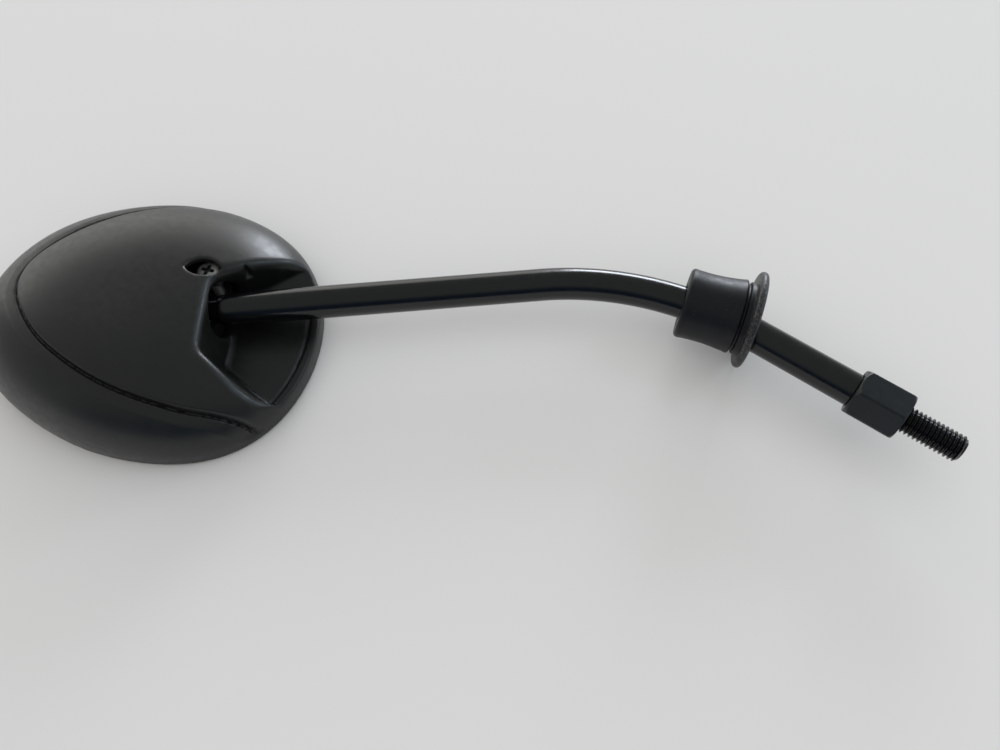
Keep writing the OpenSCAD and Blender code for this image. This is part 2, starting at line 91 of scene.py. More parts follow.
def head_to_cad(points):
    """Points in the head's own frame, moved to the part's frame."""
    p = np.asarray(points, float)
    x, y = p[..., 0] - BALL_X, p[..., 1] - BALL_Y
    c, s = math.cos(HEAD_TURN), math.sin(HEAD_TURN)
    return np.stack([BALL[0] + x * c - y * s, BALL[1] + x * s + y * c, p[..., 2] - AXIS_H], axis=-1)


RIGHT, AWAY = np.array([0.8039, 0.5948, 0.0]), np.array([-0.5948, 0.8039, 0.0])


def table_dir(azimuth, elevation):
    """A direction from the object. Azimuth 0 is away from the viewer and 90 is to the right."""
    a, e = math.radians(azimuth), math.radians(elevation)
    flat = RIGHT * math.sin(a) + AWAY * math.cos(a)
    return flat * math.cos(e) + np.array([0, 0, math.sin(e)])


# Meshes

def make_piece(name, points, faces, material, body, replaces=(), sharp=40):
    """A mesh piece from points in millimetres in the part's frame."""
    mesh = bpy.data.meshes.new(name)
    mesh.from_pydata((np.asarray(points, float) * MM).tolist(), [], faces)
    mesh.validate()
    mesh.shade_smooth()
    mesh.set_sharp_from_angle(angle=math.radians(sharp))
    mesh.materials.append(material)
    piece = bpy.data.objects.new(name, mesh)
    bpy.context.scene.collection.objects.link(piece)
    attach(piece, body)
    if replaces:
        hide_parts(*replaces)
    return piece


def ring_faces(rows, columns, closed_rows=False):
    """Quads of a grid whose columns close on themselves."""
    faces = []
    for i in range(rows if closed_rows else rows - 1):
        k = (i + 1) % rows
        for j in range(columns):
            n = (j + 1) % columns
            faces.append((i * columns + j, i * columns + n, k * columns + n, k * columns + j))
    return faces


def revolve(profile, segments):
    """Points and faces of a profile of (along, radius) turned round the X axis."""
    turn = np.arange(segments) * 2 * math.pi / segments
    p = np.asarray(profile, float)
    along = np.repeat(p[:, :1], segments, 1)
    points = np.stack([along, p[:, 1:] * np.cos(turn), p[:, 1:] * np.sin(turn)], -1)
    return points.reshape(-1, 3), ring_faces(len(p), segments, True)


def capped_tube(rings, segments):
    """Faces of rings in a row, with both ends closed by a fan round a last and a first point."""
    faces = ring_faces(rings, segments)
    first, last = rings * segments, rings * segments + 1
    base = (rings - 1) * segments
    for j in range(segments):
        n = (j + 1) % segments
        faces.append((n, j, first))
        faces.append((base + j, base + n, last))
    return faces


def arc_corner(centre, radius, start, end, steps=6):
    """Points on an arc, its angles in degrees."""
    a = np.radians(np.linspace(start, end, steps))
    return [(centre[0] + radius * c, centre[1] + radius * s) for c, s in zip(np.cos(a), np.sin(a))]


# Materials

def node(tree, kind, **inputs):
    """A shader node with some of its sockets set. An underscore stands for a space."""
    made = tree.nodes.new(kind)
    for key, value in inputs.items():
        made.inputs[key.replace("_", " ")].default_value = value
    return made


def ramp(tree, source, low, high, low_value=0.0, high_value=1.0):
    """A smooth step of a value from one range to another."""
    made = tree.nodes.new("ShaderNodeMapRange")
    made.interpolation_type = "SMOOTHSTEP"
    tree.links.new(source, made.inputs["Value"])
    for key, value in (("From Min", low), ("From Max", high), ("To Min", low_value), ("To Max", high_value)):
        made.inputs[key].default_value = value
    return made.outputs["Result"]


def noise(tree, scale, detail=2.0, roughness=0.5):
    """Fixed noise that stays with the piece, its scale in waves a metre."""
    made = node(tree, "ShaderNodeTexNoise", Scale=scale, Detail=detail, Roughness=roughness)
    place = tree.nodes.new("ShaderNodeTexCoord")
    tree.links.new(place.outputs["Object"], made.inputs["Vector"])
    return made.outputs["Fac"]


def mix_colour(tree, factor, a, b):
    """A blend of two colours, each given as a tuple or as an output."""
    made = tree.nodes.new("ShaderNodeMix")
    made.data_type = "RGBA"
    tree.links.new(factor, made.inputs["Factor"])
    for key, value in (("A", a), ("B", b)):
        socket = [s for s in made.inputs if s.name == key and s.type == "RGBA"][0]
        if isinstance(value, tuple):
            socket.default_value = (*value, 1)
        else:
            tree.links.new(value, socket)
    return [s for s in made.outputs if s.type == "RGBA"][0]


DUST_COLOUR = (0.12, 0.12, 0.12)
PATCH_SCALE, GLOSS_SCALE = 60, 450
GRAIN_DEPTH = 0.04 * MM


def finish_of(name, colour, roughness, metallic=0.0, specular=0.5, grain=None, patches=0.15, dust=0.0,
              dust_scale=900.0, rough_spread=0.04, dark=0.75):
    """A procedural finish: colour patches, uneven gloss, a grain of (scale, strength) and specks of dust."""
    material = bpy.data.materials.new(name)
    material.use_nodes = True
    tree = material.node_tree
    shader = tree.nodes["Principled BSDF"]
    shader.inputs["Metallic"].default_value = metallic
    shader.inputs["Specular IOR Level"].default_value = specular
    patch = ramp(tree, noise(tree, PATCH_SCALE, 4), 0.5 - patches, 0.5 + patches)
    shade = mix_colour(tree, patch, tuple(c * dark for c in colour), tuple(colour))
    gloss = noise(tree, GLOSS_SCALE, 3)
    rough = ramp(tree, gloss, 0.3, 0.7, roughness - rough_spread, roughness + rough_spread)
    if dust:
        speck = ramp(tree, noise(tree, dust_scale, 2, 0.6), 0.74 - dust, 0.80 - dust)
        shade = mix_colour(tree, speck, shade, DUST_COLOUR)
    tree.links.new(shade, shader.inputs["Base Color"])
    tree.links.new(rough, shader.inputs["Roughness"])
    if grain:
        scale, strength = grain
        bump = node(tree, "ShaderNodeBump", Strength=strength, Distance=GRAIN_DEPTH)
        tree.links.new(noise(tree, scale, 2, 0.5), bump.inputs["Height"])
        tree.links.new(bump.outputs["Normal"], shader.inputs["Normal"])
    return material


plastic = finish_of("housing_plastic", (0.0045, 0.0055, 0.0048), 0.36, grain=(2600, 0.30))
paint = finish_of("stem_paint", (0.0022, 0.0026, 0.003), 0.17, grain=(700, 0.10), rough_spread=0.05)
nut_paint = finish_of("nut_paint", (0.0022, 0.0050, 0.0070), 0.34, grain=(1500, 0.25))
boot_rubber = finish_of("boot_rubber", (0.0035, 0.0045, 0.0065), 0.42, specular=0.3, grain=(1500, 0.35),
                        dust=0.035, dust_scale=2000)
flange_rubber = finish_of("flange_rubber", (0.007, 0.0075, 0.009), 0.42, grain=(1700, 1.0), dust=0.17,
                          dust_scale=2600)
gasket_rubber = finish_of("gasket_rubber", (0.009, 0.009, 0.009), 0.6, grain=(1500, 0.3), dust=0.02)
foam = finish_of("foam", (0.05, 0.05, 0.055), 0.9, specular=0.2, grain=(1200, 0.9))
nylon = finish_of("liner_nylon", (0.012, 0.013, 0.016), 0.28, grain=(900, 0.15))
steel = finish_of("bright_steel", (0.55, 0.54, 0.52), 0.34, metallic=1.0, grain=(1400, 0.3), dark=0.7)
dull_steel = finish_of("dull_steel", (0.10, 0.10, 0.105), 0.5, metallic=0.8, grain=(1400, 0.3), dark=0.6)
worn_steel = finish_of("worn_steel", (0.42, 0.415, 0.40), 0.42, metallic=0.6, grain=(1600, 0.6), dark=0.35,
                       patches=0.08)
silver = finish_of("mirror", (0.86, 0.88, 0.89), 0.02, metallic=1.0, rough_spread=0.012, dark=0.98)


# Stem: one tube from the ball to the stud's tip, its thread a helix

def stem_centre(s):
    """Centre line and direction at a distance s from the ball's centre."""
    arc_end = UPPER_LEN + BEND_R * BEND_ANGLE
    turn = BEND_ANGLE - np.clip(s - UPPER_LEN, 0, BEND_R * BEND_ANGLE) / BEND_R
    on_bend = BEND_CENTRE + BEND_R * np.stack([-np.sin(turn), np.cos(turn)], -1)
    along = np.stack([np.cos(turn), np.sin(turn)], -1)
    before = np.minimum(s - UPPER_LEN, 0)[:, None] * along
    after = np.maximum(s - arc_end, 0)[:, None] * along
    return on_bend + before + after, along


def stem_rings():
    """Distances along the stem and the radius at each, before the thread is cut."""
    root = UPPER_LEN + BEND_R * BEND_ANGLE + LOWER_FULL
    neck_s = math.sqrt(BALL_R ** 2 - NECK_R ** 2)
    shoulder = TAPER_R - NECK_R
    rows = [(-BALL_R * math.cos(a), BALL_R * math.sin(a)) for a in np.linspace(0.05, math.pi / 2, 24)]
    rows += [(BALL_R * math.sin(a), BALL_R * math.cos(a))
             for a in np.linspace(0.06, math.asin(neck_s / BALL_R), 18)]
    rows += [(s, NECK_R) for s in np.linspace(neck_s + 0.3, NECK_LEN - 0.02, 5)]
    rows += [(NECK_LEN + shoulder * (1 - math.cos(a)), NECK_R + shoulder * math.sin(a))
             for a in np.linspace(0.1, math.pi / 2, 6)]
    rows += [(NECK_LEN + s, TAPER_R + (ROD_R - TAPER_R) * s / TAPER_LEN)
             for s in np.linspace(2, TAPER_LEN, 10)]
    rows += [(s, ROD_R) for s in np.linspace(NECK_LEN + TAPER_LEN + 3, UPPER_LEN, 26)]
    rows += [(s, ROD_R) for s in np.linspace(UPPER_LEN, UPPER_LEN + BEND_R * BEND_ANGLE, 50)[1:]]
    end = root + ROD_END
    rows += [(s, ROD_R) for s in np.linspace(root - LOWER_FULL, end - 0.5, 16)[1:]]
    edge = 0.5
    rows += [(end - edge + edge * math.sin(a), ROD_R - edge + edge * math.cos(a)) for a in (0.5, 1.0, 1.55)]
    rows += [(s, STUD_CORE_R) for s in (end + 0.01, end + 2, root - 1.2, root)]
    return rows, root


def make_stem():
    """The ball, neck, rod and stud in one mesh, with a thread that fades in at its root."""
    segments = 96
    pitch, samples = 1.25, 14
    thread_depth, run_in, chamfer_r, tip_r = 0.76, 0.6, STUD_R - 0.95, 2.9
    rows, root = stem_rings()
    plain = len(rows)
    tip = root + STUD_LEN
    threads = np.arange(root + 0.02, tip - 0.001, pitch / samples)
    s = np.array([r[0] for r in rows] + list(threads) + [tip])
    radius = np.repeat(np.array([r[1] for r in rows] + [STUD_R] * (len(threads) + 1))[:, None], segments, 1)
    turn = np.arange(segments) * 2 * math.pi / segments
    phase = ((s[plain:, None] - root) / pitch - turn / (2 * math.pi)) % 1.0
    flank = np.abs(phase - 0.5) * 2
    depth = thread_depth * np.clip((flank - 0.10) / 0.74, 0, 1)
    grown = np.clip((s[plain:, None] - root) / run_in, 0, 1)
    chamfer = chamfer_r + (tip - s[plain:, None])
    thread_r = np.minimum(STUD_R - depth * grown, chamfer)
    radius[plain:] = np.maximum(thread_r, tip_r)
    centre, along = stem_centre(s)
    side = np.stack([-along[:, 1], along[:, 0]], -1)
    points = np.zeros((len(s), segments, 3))
    points[..., :2] = centre[:, None] + side[:, None] * (radius * np.cos(turn))[..., None]
    points[..., 2] = radius * np.sin(turn)
    start = [*(BALL - BALL_R * UPPER_DIR), 0]
    points = np.vstack([points.reshape(-1, 3), [start, [STUD_LEN, 0, 0]]])
    faces = capped_tube(len(s), segments)
    return make_piece("stem", points, faces, paint, "stem", ["stem_rod"], 35)


# Lock nut: a hexagon whose corners are cut by a cone at each end

def make_nut():
    """The nut as rings round the stud's axis, from the rod's end to the stud's."""
    flat, length, turned = 6.75, 14.5, math.radians(34)
    corner = flat / math.cos(math.pi / 6) - 0.10
    bore, counterbore, rod_gap = STUD_CORE_R + FIT_GAP, 2.0, ROD_R + 0.35
    rod_slope, end_band, middle_start, soft, face_share = 0.92, 1.2, 1.6, 0.22, 0.985
    across = np.linspace(-1, 1, 21)
    one = np.arctan(np.sign(across) * np.abs(across) ** 0.7 * math.tan(math.pi / 6))
    turn = np.concatenate([one[:-1] + k * math.pi / 3 for k in range(6)])
    hexagon = flat / np.cos((turn + math.pi / 6) % (math.pi / 3) - math.pi / 6)
    hexagon = np.minimum(hexagon, corner)
    x = np.concatenate([np.linspace(0, end_band, 16), np.linspace(middle_start, length - middle_start, 12),
                        np.linspace(length - end_band, length, 16)])
    rod_cone = flat - 0.2 + x * rod_slope
    stud_cone = flat + 0.2 + (length - x)
    cone = np.minimum(rod_cone, stud_cone)[:, None]
    gap = np.clip(soft - np.abs(cone - hexagon), 0, None)
    outer = np.minimum(cone, hexagon) - gap ** 2 / (4 * soft)
    inner = [(length, bore + 0.5), (length - 0.5, bore), (counterbore, bore), (counterbore, rod_gap),
             (0.3, rod_gap), (0.0, rod_gap + 0.3)]
    rows = list(zip(x, outer)) + [(length, outer[-1] * face_share)] + inner + [(0.0, outer[0] * face_share)]
    a = turn + turned
    points = []
    for along, radius in rows:
        x_ring = np.full(len(a), along - length)
        points.append(np.stack([x_ring, radius * np.cos(a), radius * np.sin(a)], -1))
    faces = ring_faces(len(rows), len(turn), True)
    return make_piece("nut", np.concatenate(points), faces, nut_paint, "nut", ["lock_nut"], 50)


# Rubber boot: lip, waisted body, panel groove, ring and flange

def make_boot():
    """The boot turned from its profile and set on the bend, its flange on the table."""
    first_r, last_r, length, groove, ring, flange_t, wall = 10.8, 11.5, 16.9, 0.9, 1.6, 2.4, 1.7
    sink, hollow, neck_r, ring_r = 0.25, 8.8, 10.1, 11.2
    flange_r, lip_r = AXIS_H - sink, ROD_R + 0.72
    mouth, waist, end_round, ring_round, lip_round, inner_round = 1.25, 0.55, 0.6, 0.45, 0.4, 0.5
    fillet = 0.15
    ring_x = length + groove
    flange_x = ring_x + ring
    total = flange_x + flange_t
    # Distance along and radius, from the lip over the outside to the flange and back through the hollow
    rows = [(0, lip_r + lip_round), (0, first_r - 1.5)]
    rows += arc_corner((1.2, first_r - mouth), mouth, 180, 92, 9)
    along = np.linspace(2.2, length - 1.5, 14)
    share = along / length
    rows += list(zip(along, first_r + (last_r - first_r) * share - waist * np.sin(math.pi * share)))
    rows += arc_corner((length - end_round, last_r - end_round), end_round, 95, 5, 6)
    rows += [(length, neck_r + fillet), (length + fillet, neck_r)]
    rows += [(ring_x - fillet, neck_r), (ring_x, neck_r + fillet)]
    rows += arc_corner((ring_x + ring_round, ring_r - ring_round), ring_round, 180, 95, 5)
    rows += [(flange_x - 0.35, ring_r), (flange_x - 0.08, ring_r + 0.15), (flange_x, ring_r + 0.5)]
    rows += arc_corner((flange_x + flange_t / 2, flange_r - flange_t / 2), flange_t / 2, 180, 0, 14)
    rows += [(total, hollow + 0.7)]
    rows += arc_corner((total - inner_round, hollow + inner_round), inner_round, 350, 275, 4)
    rows += [(4.0, hollow), (2.2, hollow - wall + 0.3), (1.8, lip_r + lip_round)]
    rows += arc_corner((1.4, lip_r + lip_round), lip_round, 340, 280, 3)
    rows += arc_corner((0.5, lip_r + lip_round), lip_round, 260, 200, 3)
    points, faces = revolve(rows, 160)
    at, tilt, aside, back = math.radians(13.3), math.radians(17.8), [0.05, 0.4], 0.9
    place = BEND_CENTRE + BEND_R * np.array([-math.sin(at), math.cos(at)]) + aside
    x, y, z = points[:, 0] - back, points[:, 1], points[:, 2]
    moved = np.stack([place[0] + x * math.cos(tilt) - y * math.sin(tilt),
                      place[1] + x * math.sin(tilt) + y * math.cos(tilt), z - sink], -1)
    piece = make_piece("boot", moved, faces, boot_rubber, "boot", ["rubber_boot"], 55)
    piece.data.materials.append(flange_rubber)
    for face in piece.data.polygons:
        middle = points[list(face.vertices)].mean(axis=0)
        if middle[0] > flange_x - 0.1 and math.hypot(middle[1], middle[2]) > 11.0:
            face.material_index = 1
    return piece


# Outline of the head

def egg_ring(inset, count, level=1.0):
    """Points round the head's outline, moved in by an inset and drawn in by a level from 1 to 0."""
    t = np.arange(count) * 2 * math.pi / count
    x = np.sign(np.cos(t)) * np.abs(np.cos(t)) ** (2 / EGG_POWER) * level ** (2 / EGG_POWER)
    u = (1 + EGG_TAPER * x + EGG_SWELL * x * x) * np.sin(t) * level
    y = (1 - np.sqrt(1 - 4 * EGG_SKEW * u)) / (2 * EGG_SKEW)
    return np.stack([(HALF_LEN - inset) * x, (HALF_WID - inset) * y], -1)


def make_gasket():
    """The gasket: a soft channel swept round the outline, with a thin lip under the shell's edge."""
    narrowest = 0.938
    outer = WALL + FIT_GAP
    inner = GLASS_INSET + LIP_W
    low = GLASS_H + (narrowest * (HALF_WID - inner)) ** 2 / (2 * GLASS_R) - FIT_GAP
    high = GLASS_H + GLASS_T + HALF_LEN ** 2 / (2 * GLASS_R) + FIT_GAP
    top = FLOOR_H - FLOOR_T - FIT_GAP
    lip_top = EDGE_GAP - 0.06
    # Inset from the outline and height above the table, once round the section
    rows = [(0.55, 0.0), (0.35, 0.12), (0.28, 0.4), (0.4, 0.72), (0.7, lip_top), (2.2, lip_top),
            (outer, EDGE_GAP), (outer, top - 0.3), (outer + 0.3, top), (inner - 0.3, top),
            (inner, top - 0.3), (inner, high + 0.2), (inner - 0.2, high), (GLASS_INSET, high),
            (GLASS_INSET, low), (inner - 0.15, low), (inner, low - 0.2), (inner - 0.1, 0.25),
            (inner - 0.4, 0.0)]
    count = 360
    points = [np.column_stack([egg_ring(inset, count), np.full(count, z)]) for inset, z in rows]
    faces = ring_faces(len(rows), count, True)
    return make_piece("gasket", head_to_cad(np.concatenate(points)), faces, gasket_rubber, "head",
                      ["glass_gasket"], 45)


def make_glass():
    """The mirror glass: two faces curved to one radius, joined at the edge."""
    count, steps = 288, 22
    inset = GLASS_INSET + FIT_GAP
    rows = [(egg_ring(inset, count, k / steps), GLASS_H) for k in range(1, steps + 1)]
    rows.append((egg_ring(inset, count), GLASS_H + GLASS_T))
    rows += [(egg_ring(inset, count, k / steps), GLASS_H + GLASS_T) for k in range(steps - 1, 0, -1)]
    points = []
    for ring, base in rows:
        z = base + (ring ** 2).sum(1) / (2 * GLASS_R)
        points.append(np.column_stack([ring, z]))
    points = np.vstack([*points, [[0, 0, GLASS_H]], [[0, 0, GLASS_H + GLASS_T]]])
    return make_piece("glass", head_to_cad(points), capped_tube(len(rows), count), silver, "head",
                      ["mirror_glass"], 45)


# Tension screw: worn pan head with a cross recess

def make_screw():
    """The screw as rings from the middle of its head to its tip, the cross sunk and darker."""
    head_r, head_h, seat, rim_share = 3.5, 2.2, PLATE_HIGH + PLATE_T + 1.0, 0.45
    pitch, samples, thread_r, thread_depth, tip_r = 0.7, 8, 2.0, 0.38, 1.5
    cross_depth, centre_depth, centre_r = 0.95, 0.7, 2.1
    count, rings = 96, 30
    turn = np.arange(count) * 2 * math.pi / count
    rows = []
    for radius in head_r * np.linspace(0.02, 1.0, rings):
        share = radius / head_r
        x, y = radius * np.cos(turn), radius * np.sin(turn)
        round_share = (1 - rim_share) * (1 - share ** 4) ** 0.5 if share < 1 else 0
        sunk = cross_of(x, y) * (cross_depth + centre_depth * np.clip(1 - radius / centre_r, 0, 1))
        rows.append(np.stack([x, y, head_h * (rim_share + round_share) - sunk + seat], -1))
    rows.append(np.stack([head_r * np.cos(turn), head_r * np.sin(turn), np.full(count, seat)], -1))
    bottom = PLATE_LOW - 4.0
    for z in np.arange(seat - 0.05, bottom, -pitch / samples):
        phase = (z / pitch - turn / (2 * math.pi)) % 1.0
        radius = thread_r - thread_depth * np.clip((np.abs(phase - 0.5) * 2 - 0.15) / 0.6, 0, 1)
        radius = np.minimum(radius, tip_r + (z - bottom))
        rows.append(np.stack([radius * np.cos(turn), radius * np.sin(turn), np.full(count, z)], -1))
    local = np.vstack([*rows, [[0, 0, seat + head_h - 1.4]], [[0, 0, bottom]]])
    points = local + [BALL_X + SCREW_AT[0], BALL_Y + SCREW_AT[1], 0.0]
    faces = [f[::-1] for f in capped_tube(len(rows), count)]
    piece = make_piece("clamp_screw", head_to_cad(points), faces, worn_steel, "head",
                       ["tension_screw"], 35)
    piece.data.materials.append(nut_paint)
    for face in piece.data.polygons:
        middle = local[list(face.vertices)].mean(axis=0)
        if middle[2] > seat + 0.1 and cross_of(middle[0], middle[1]) > 0.3:
            face.material_index = 1
    return piece


def cross_of(x, y):
    """One inside the driver's cross and nought outside, in the screw's own plane."""
    half_width, flare, flare_r, reach = 0.50, 0.35, 2.0, 2.2
    wing = half_width + flare * np.clip(1 - np.hypot(x, y) / flare_r, 0, 1)
    one = np.clip((wing - np.abs(x)) / 0.16, 0, 1) * np.clip((reach - np.abs(y)) / 0.3, 0, 1)
    other = np.clip((wing - np.abs(y)) / 0.16, 0, 1) * np.clip((reach - np.abs(x)) / 0.3, 0, 1)
    return np.maximum(one, other)


# Rear shell: a smooth solid from distance fields, in the head's own frame

def smooth_max(a, b, k):
    """The greater of two fields, rounded over a width k where they meet."""
    gap = np.maximum(k - np.abs(a - b), 0) / k
    return np.maximum(a, b) + gap * gap * k / 4


def step01(v, low, high):
    """A smooth step from nought at low to one at high."""
    t = np.clip((v - low) / (high - low), 0, 1)
    return t * t * (3 - 2 * t)


def egg_level(x, y, inset):
    """Where a point lies between the middle, 0, and the outline, 1."""
    soft = 0.01
    u, v = x / (HALF_LEN - inset), y / (HALF_WID - inset)
    w = (v - EGG_SKEW * v * v) / (1 + EGG_TAPER * u + EGG_SWELL * u * u)
    spread = (u * u + soft) ** (EGG_POWER / 2) - soft ** (EGG_POWER / 2)
    return np.sqrt(spread + w * w + 1e-9)


def level_slope(x, y, inset):
    """How fast the level grows, a millimetre."""
    e = 0.05
    dx = egg_level(x + e, y, inset) - egg_level(x - e, y, inset)
    dy = egg_level(x, y + e, inset) - egg_level(x, y - e, inset)
    return np.hypot(dx, dy) / (2 * e)


def egg_distance(x, y, inset):
    """Distance, about, to the outline moved in by an inset, negative inside."""
    return (egg_level(x, y, inset) - 1) / level_slope(x, y, inset)


def dome_distance(x, y, z, inset):
    """Distance, about, to the hood's dome moved in by an inset, negative inside."""
    level = egg_level(x, y, inset)
    rise = np.maximum(z - SIDE_H, 0) / (HOOD_H - inset - SIDE_H)
    value = level ** DOME_POWER + rise * rise - 1
    flat_slope = DOME_POWER * level ** (DOME_POWER - 1) * level_slope(x, y, inset)
    high_slope = 2 * rise / (HOOD_H - inset - SIDE_H)
    return value / np.maximum(np.hypot(flat_slope, high_slope), 0.02)


def rounded(plan, radii, steps=7):
    """A polygon with its corners rounded."""
    points = []
    plan = [np.array(p, float) for p in plan]
    for i, p in enumerate(plan):
        u = plan[i - 1] - p
        v = plan[(i + 1) % len(plan)] - p
        u, v = u / np.linalg.norm(u), v / np.linalg.norm(v)
        half = math.acos(u @ v) / 2
        middle = (u + v) / np.linalg.norm(u + v)
        centre = p + middle * radii[i] / math.sin(half)
        start = p + u * radii[i] / math.tan(half) - centre
        turn = (math.pi - 2 * half) * np.sign(u[0] * v[1] - u[1] * v[0])
        for k in range(steps + 1):
            c, s = math.cos(-turn * k / steps), math.sin(-turn * k / steps)
            points.append(centre + [start[0] * c - start[1] * s, start[0] * s + start[1] * c])
    return np.array(points)


def segment_distance(x, y, a, b):
    """Square of the distance to a segment, and a number whose sign tells the side."""
    d = b - a
    t = np.clip(((x - a[0]) * d[0] + (y - a[1]) * d[1]) / (d @ d), 0, 1)
    px, py = x - a[0] - t * d[0], y - a[1] - t * d[1]
    return px * px + py * py, d[0] * py - d[1] * px


def polygon_distance(x, y, plan):
    """Signed distance to a polygon, negative inside."""
    best = np.full(np.broadcast(x, y).shape, 1e9)
    inside = np.zeros(best.shape, bool)
    for a, b in zip(plan, np.roll(plan, -1, axis=0)):
        best = np.minimum(best, segment_distance(x, y, a, b)[0])
        if a[1] != b[1]:
            crosses = ((a[1] > y) != (b[1] > y)) & (x < (b[0] - a[0]) * (y - a[1]) / (b[1] - a[1]) + a[0])
            inside ^= crosses
    return np.where(inside, -1, 1) * np.sqrt(best)


def curve(plan, steps=6):
    """A smooth curve through the points of a plan."""
    p = np.array(plan, float)
    points = []
    for i in range(len(p) - 1):
        a, b, c, d = p[max(i - 1, 0)], p[i], p[i + 1], p[min(i + 2, len(p) - 1)]
        for k in range(steps):
            t = k / steps
            points.append(0.5 * (2 * b + (c - a) * t + (2 * a - 5 * b + 4 * c - d) * t * t
                                 + (3 * b - a - 3 * c + d) * t ** 3))
    return np.array(points + [p[-1]])


RECESS = rounded(RECESS_PLAN, RECESS_ROUND)
PAD = rounded(PAD_PLAN, PAD_ROUND)
LINE = curve(LINE_PLAN)

# Plans and sizes of the shell's smaller forms
POCKET = np.array([[45.9, -24.9], [50.6, -23.3], [47.0, -22.6]])
NOTCH = np.array([[27.6, 16.4], [31.6, 19.8], [28.2, 20.3]])
POCKET_DEPTH, NOTCH_H = 0.9, 17.5
UPPER_BAND, FAR_BAND = (5.0, 25.0), (30.0, 42.0)
HOLE_R, HOLE_LEN = 8.5, 17.0
BOSS_R, LEDGE_T = 3.7, 1.2
SLOT_LEN, SLOT_WID = 10.0, 6.0
SCREW_HOLE_R, SCREW_HOLE_LEN = 1.9, 9.5
EDGE_ROUND, NOTCH_ROUND, SLOT_ROUND, HOLE_ROUND = 0.5, 0.3, 0.9, 0.8


def line_depth(x, y):
    """Depth of the step line, steep on the hood's side and gentle beyond, and the distance to it."""
    best = np.full(np.broadcast(x, y).shape, 1e9)
    side = np.zeros(best.shape)
    for a, b in zip(LINE[:-1], LINE[1:]):
        square, turn = segment_distance(x, y, a, b)
        nearer = square < best
        best = np.where(nearer, square, best)
        side = np.where(nearer, turn, side)
    outward = np.sqrt(best) * np.sign(side)
    start_fade, end_fade, step_run, foot, crease_in = 3.0, 14.0, 3.6, 0.25, 0.75
    ends = step01(np.hypot(x - LINE[0][0], y - LINE[0][1]), 0.0, start_fade)
    ends = ends * step01(np.hypot(x - LINE[-1][0], y - LINE[-1][1]), 0.0, end_fade)
    upper, far = step01(y, *UPPER_BAND), step01(y, *FAR_BAND)
    step_depth = 0.9 + 0.3 * upper - 0.3 * far
    crease_depth = 0.8 + 0.6 * upper - 0.9 * far
    crease_out = crease_in + 0.9 * upper + 0.4 * far
    step = step_depth * step01(outward, -0.45, 0.15) * (1 - np.clip((outward - 0.4) / step_run, 0, 1))
    from_foot = outward - foot
    crease_width = np.where(from_foot > 0, crease_out, crease_in)
    crease = crease_depth * (1 - step01(np.abs(from_foot), 0.1, crease_width))
    pocket = POCKET_DEPTH * step01(-polygon_distance(x, y, POCKET), -0.1, 0.5)
    return (step + crease) * ends + pocket, np.sqrt(best)


def plan_fields(x, y):
    """The fields that depend on the plan alone."""
    ball_x, ball_y = x - BALL_X, y - BALL_Y
    c, s = math.cos(HEAD_LEAN), math.sin(HEAD_LEAN)
    slot_x, slot_y = ball_x - SCREW_AT[0], ball_y - SCREW_AT[1] + 1
    across = -slot_x * s + slot_y * c
    along = slot_x * c + slot_y * s
    arc = (SLOT_LEN ** 2 + SLOT_WID ** 2) / (4 * SLOT_WID)
    off = arc - SLOT_WID / 2
    slot = np.maximum(np.hypot(along, across - off), np.hypot(along, across + off)) - arc
    bosses = np.full(np.broadcast(x, y).shape, 1e9)
    for p in FIXING_AT:
        bosses = np.minimum(bosses, np.hypot(ball_x - p[0], ball_y - p[1]))
    depth, near = line_depth(x, y)
    return {"recess": polygon_distance(x, y, RECESS), "pad": polygon_distance(x, y, PAD),
            "line": depth, "near_line": near, "slot": slot, "bosses": bosses,
            "notch": polygon_distance(x, y, NOTCH), "upper": step01(y, *UPPER_BAND),
            "rim": egg_distance(x, y, RIM_T), "pad_rim": egg_distance(x, y, RIM_T + 1.2),
            "ledge_out": egg_distance(x, y, WALL - 0.4),
            "ledge_in": egg_distance(x, y, WALL + GASKET_WALL + LIP_W)}


def recess_space(f, y, z):
    """The recess: its walls slope from the hood's edge down to the pad, over a floor and a rim."""
    pad_out, rim_round, floor_round, open_round = 1.0, 1.0, 1.8, 0.8
    draft = 0.1 + 0.025 * (z - RIM_H)
    slope_low, slope_high = 6.0, 19 - 9 * step01(y, -2.0, 8.0)
    rise = step01(z, slope_low, slope_high)
    wall = rise * f["recess"] + (1 - rise) * (f["pad"] - pad_out)
    pad_level = FLOOR_H + PAD_H * (1 - step01(f["pad_rim"], -0.4, 0.5))
    low = smooth_max(smooth_max(wall, f["rim"], rim_round), pad_level - z, floor_round)
    high = smooth_max(wall - draft, RIM_H - z, open_round)
    return np.minimum(low, high)


def kept_inside(f, z):
    """What stays solid in the hollow: the recess's walls and floor, the bosses and the gasket's ledge."""
    floor_under = FLOOR_H - FLOOR_T
    walls = np.maximum(f["recess"] - RECESS_WALL, floor_under - z)
    bosses = np.maximum(f["bosses"] - BOSS_R, PLATE_LOW + PLATE_T - z)
    ring = np.maximum(f["ledge_out"], -f["ledge_in"])
    ledge = np.maximum(ring, np.abs(z - floor_under - LEDGE_T / 2) - LEDGE_T / 2)
    return np.minimum(np.minimum(walls, bosses), ledge)


def neck_hole(x, y, z):
    """The round hole from the ball's place out to the recess."""
    c, s = math.cos(HEAD_LEAN), math.sin(HEAD_LEAN)
    along = (x - BALL_X) * c + (y - BALL_Y) * s
    off = np.hypot(-(x - BALL_X) * s + (y - BALL_Y) * c, z - AXIS_H)
    return np.maximum(np.maximum(off - HOLE_R, -along), along - HOLE_LEN)


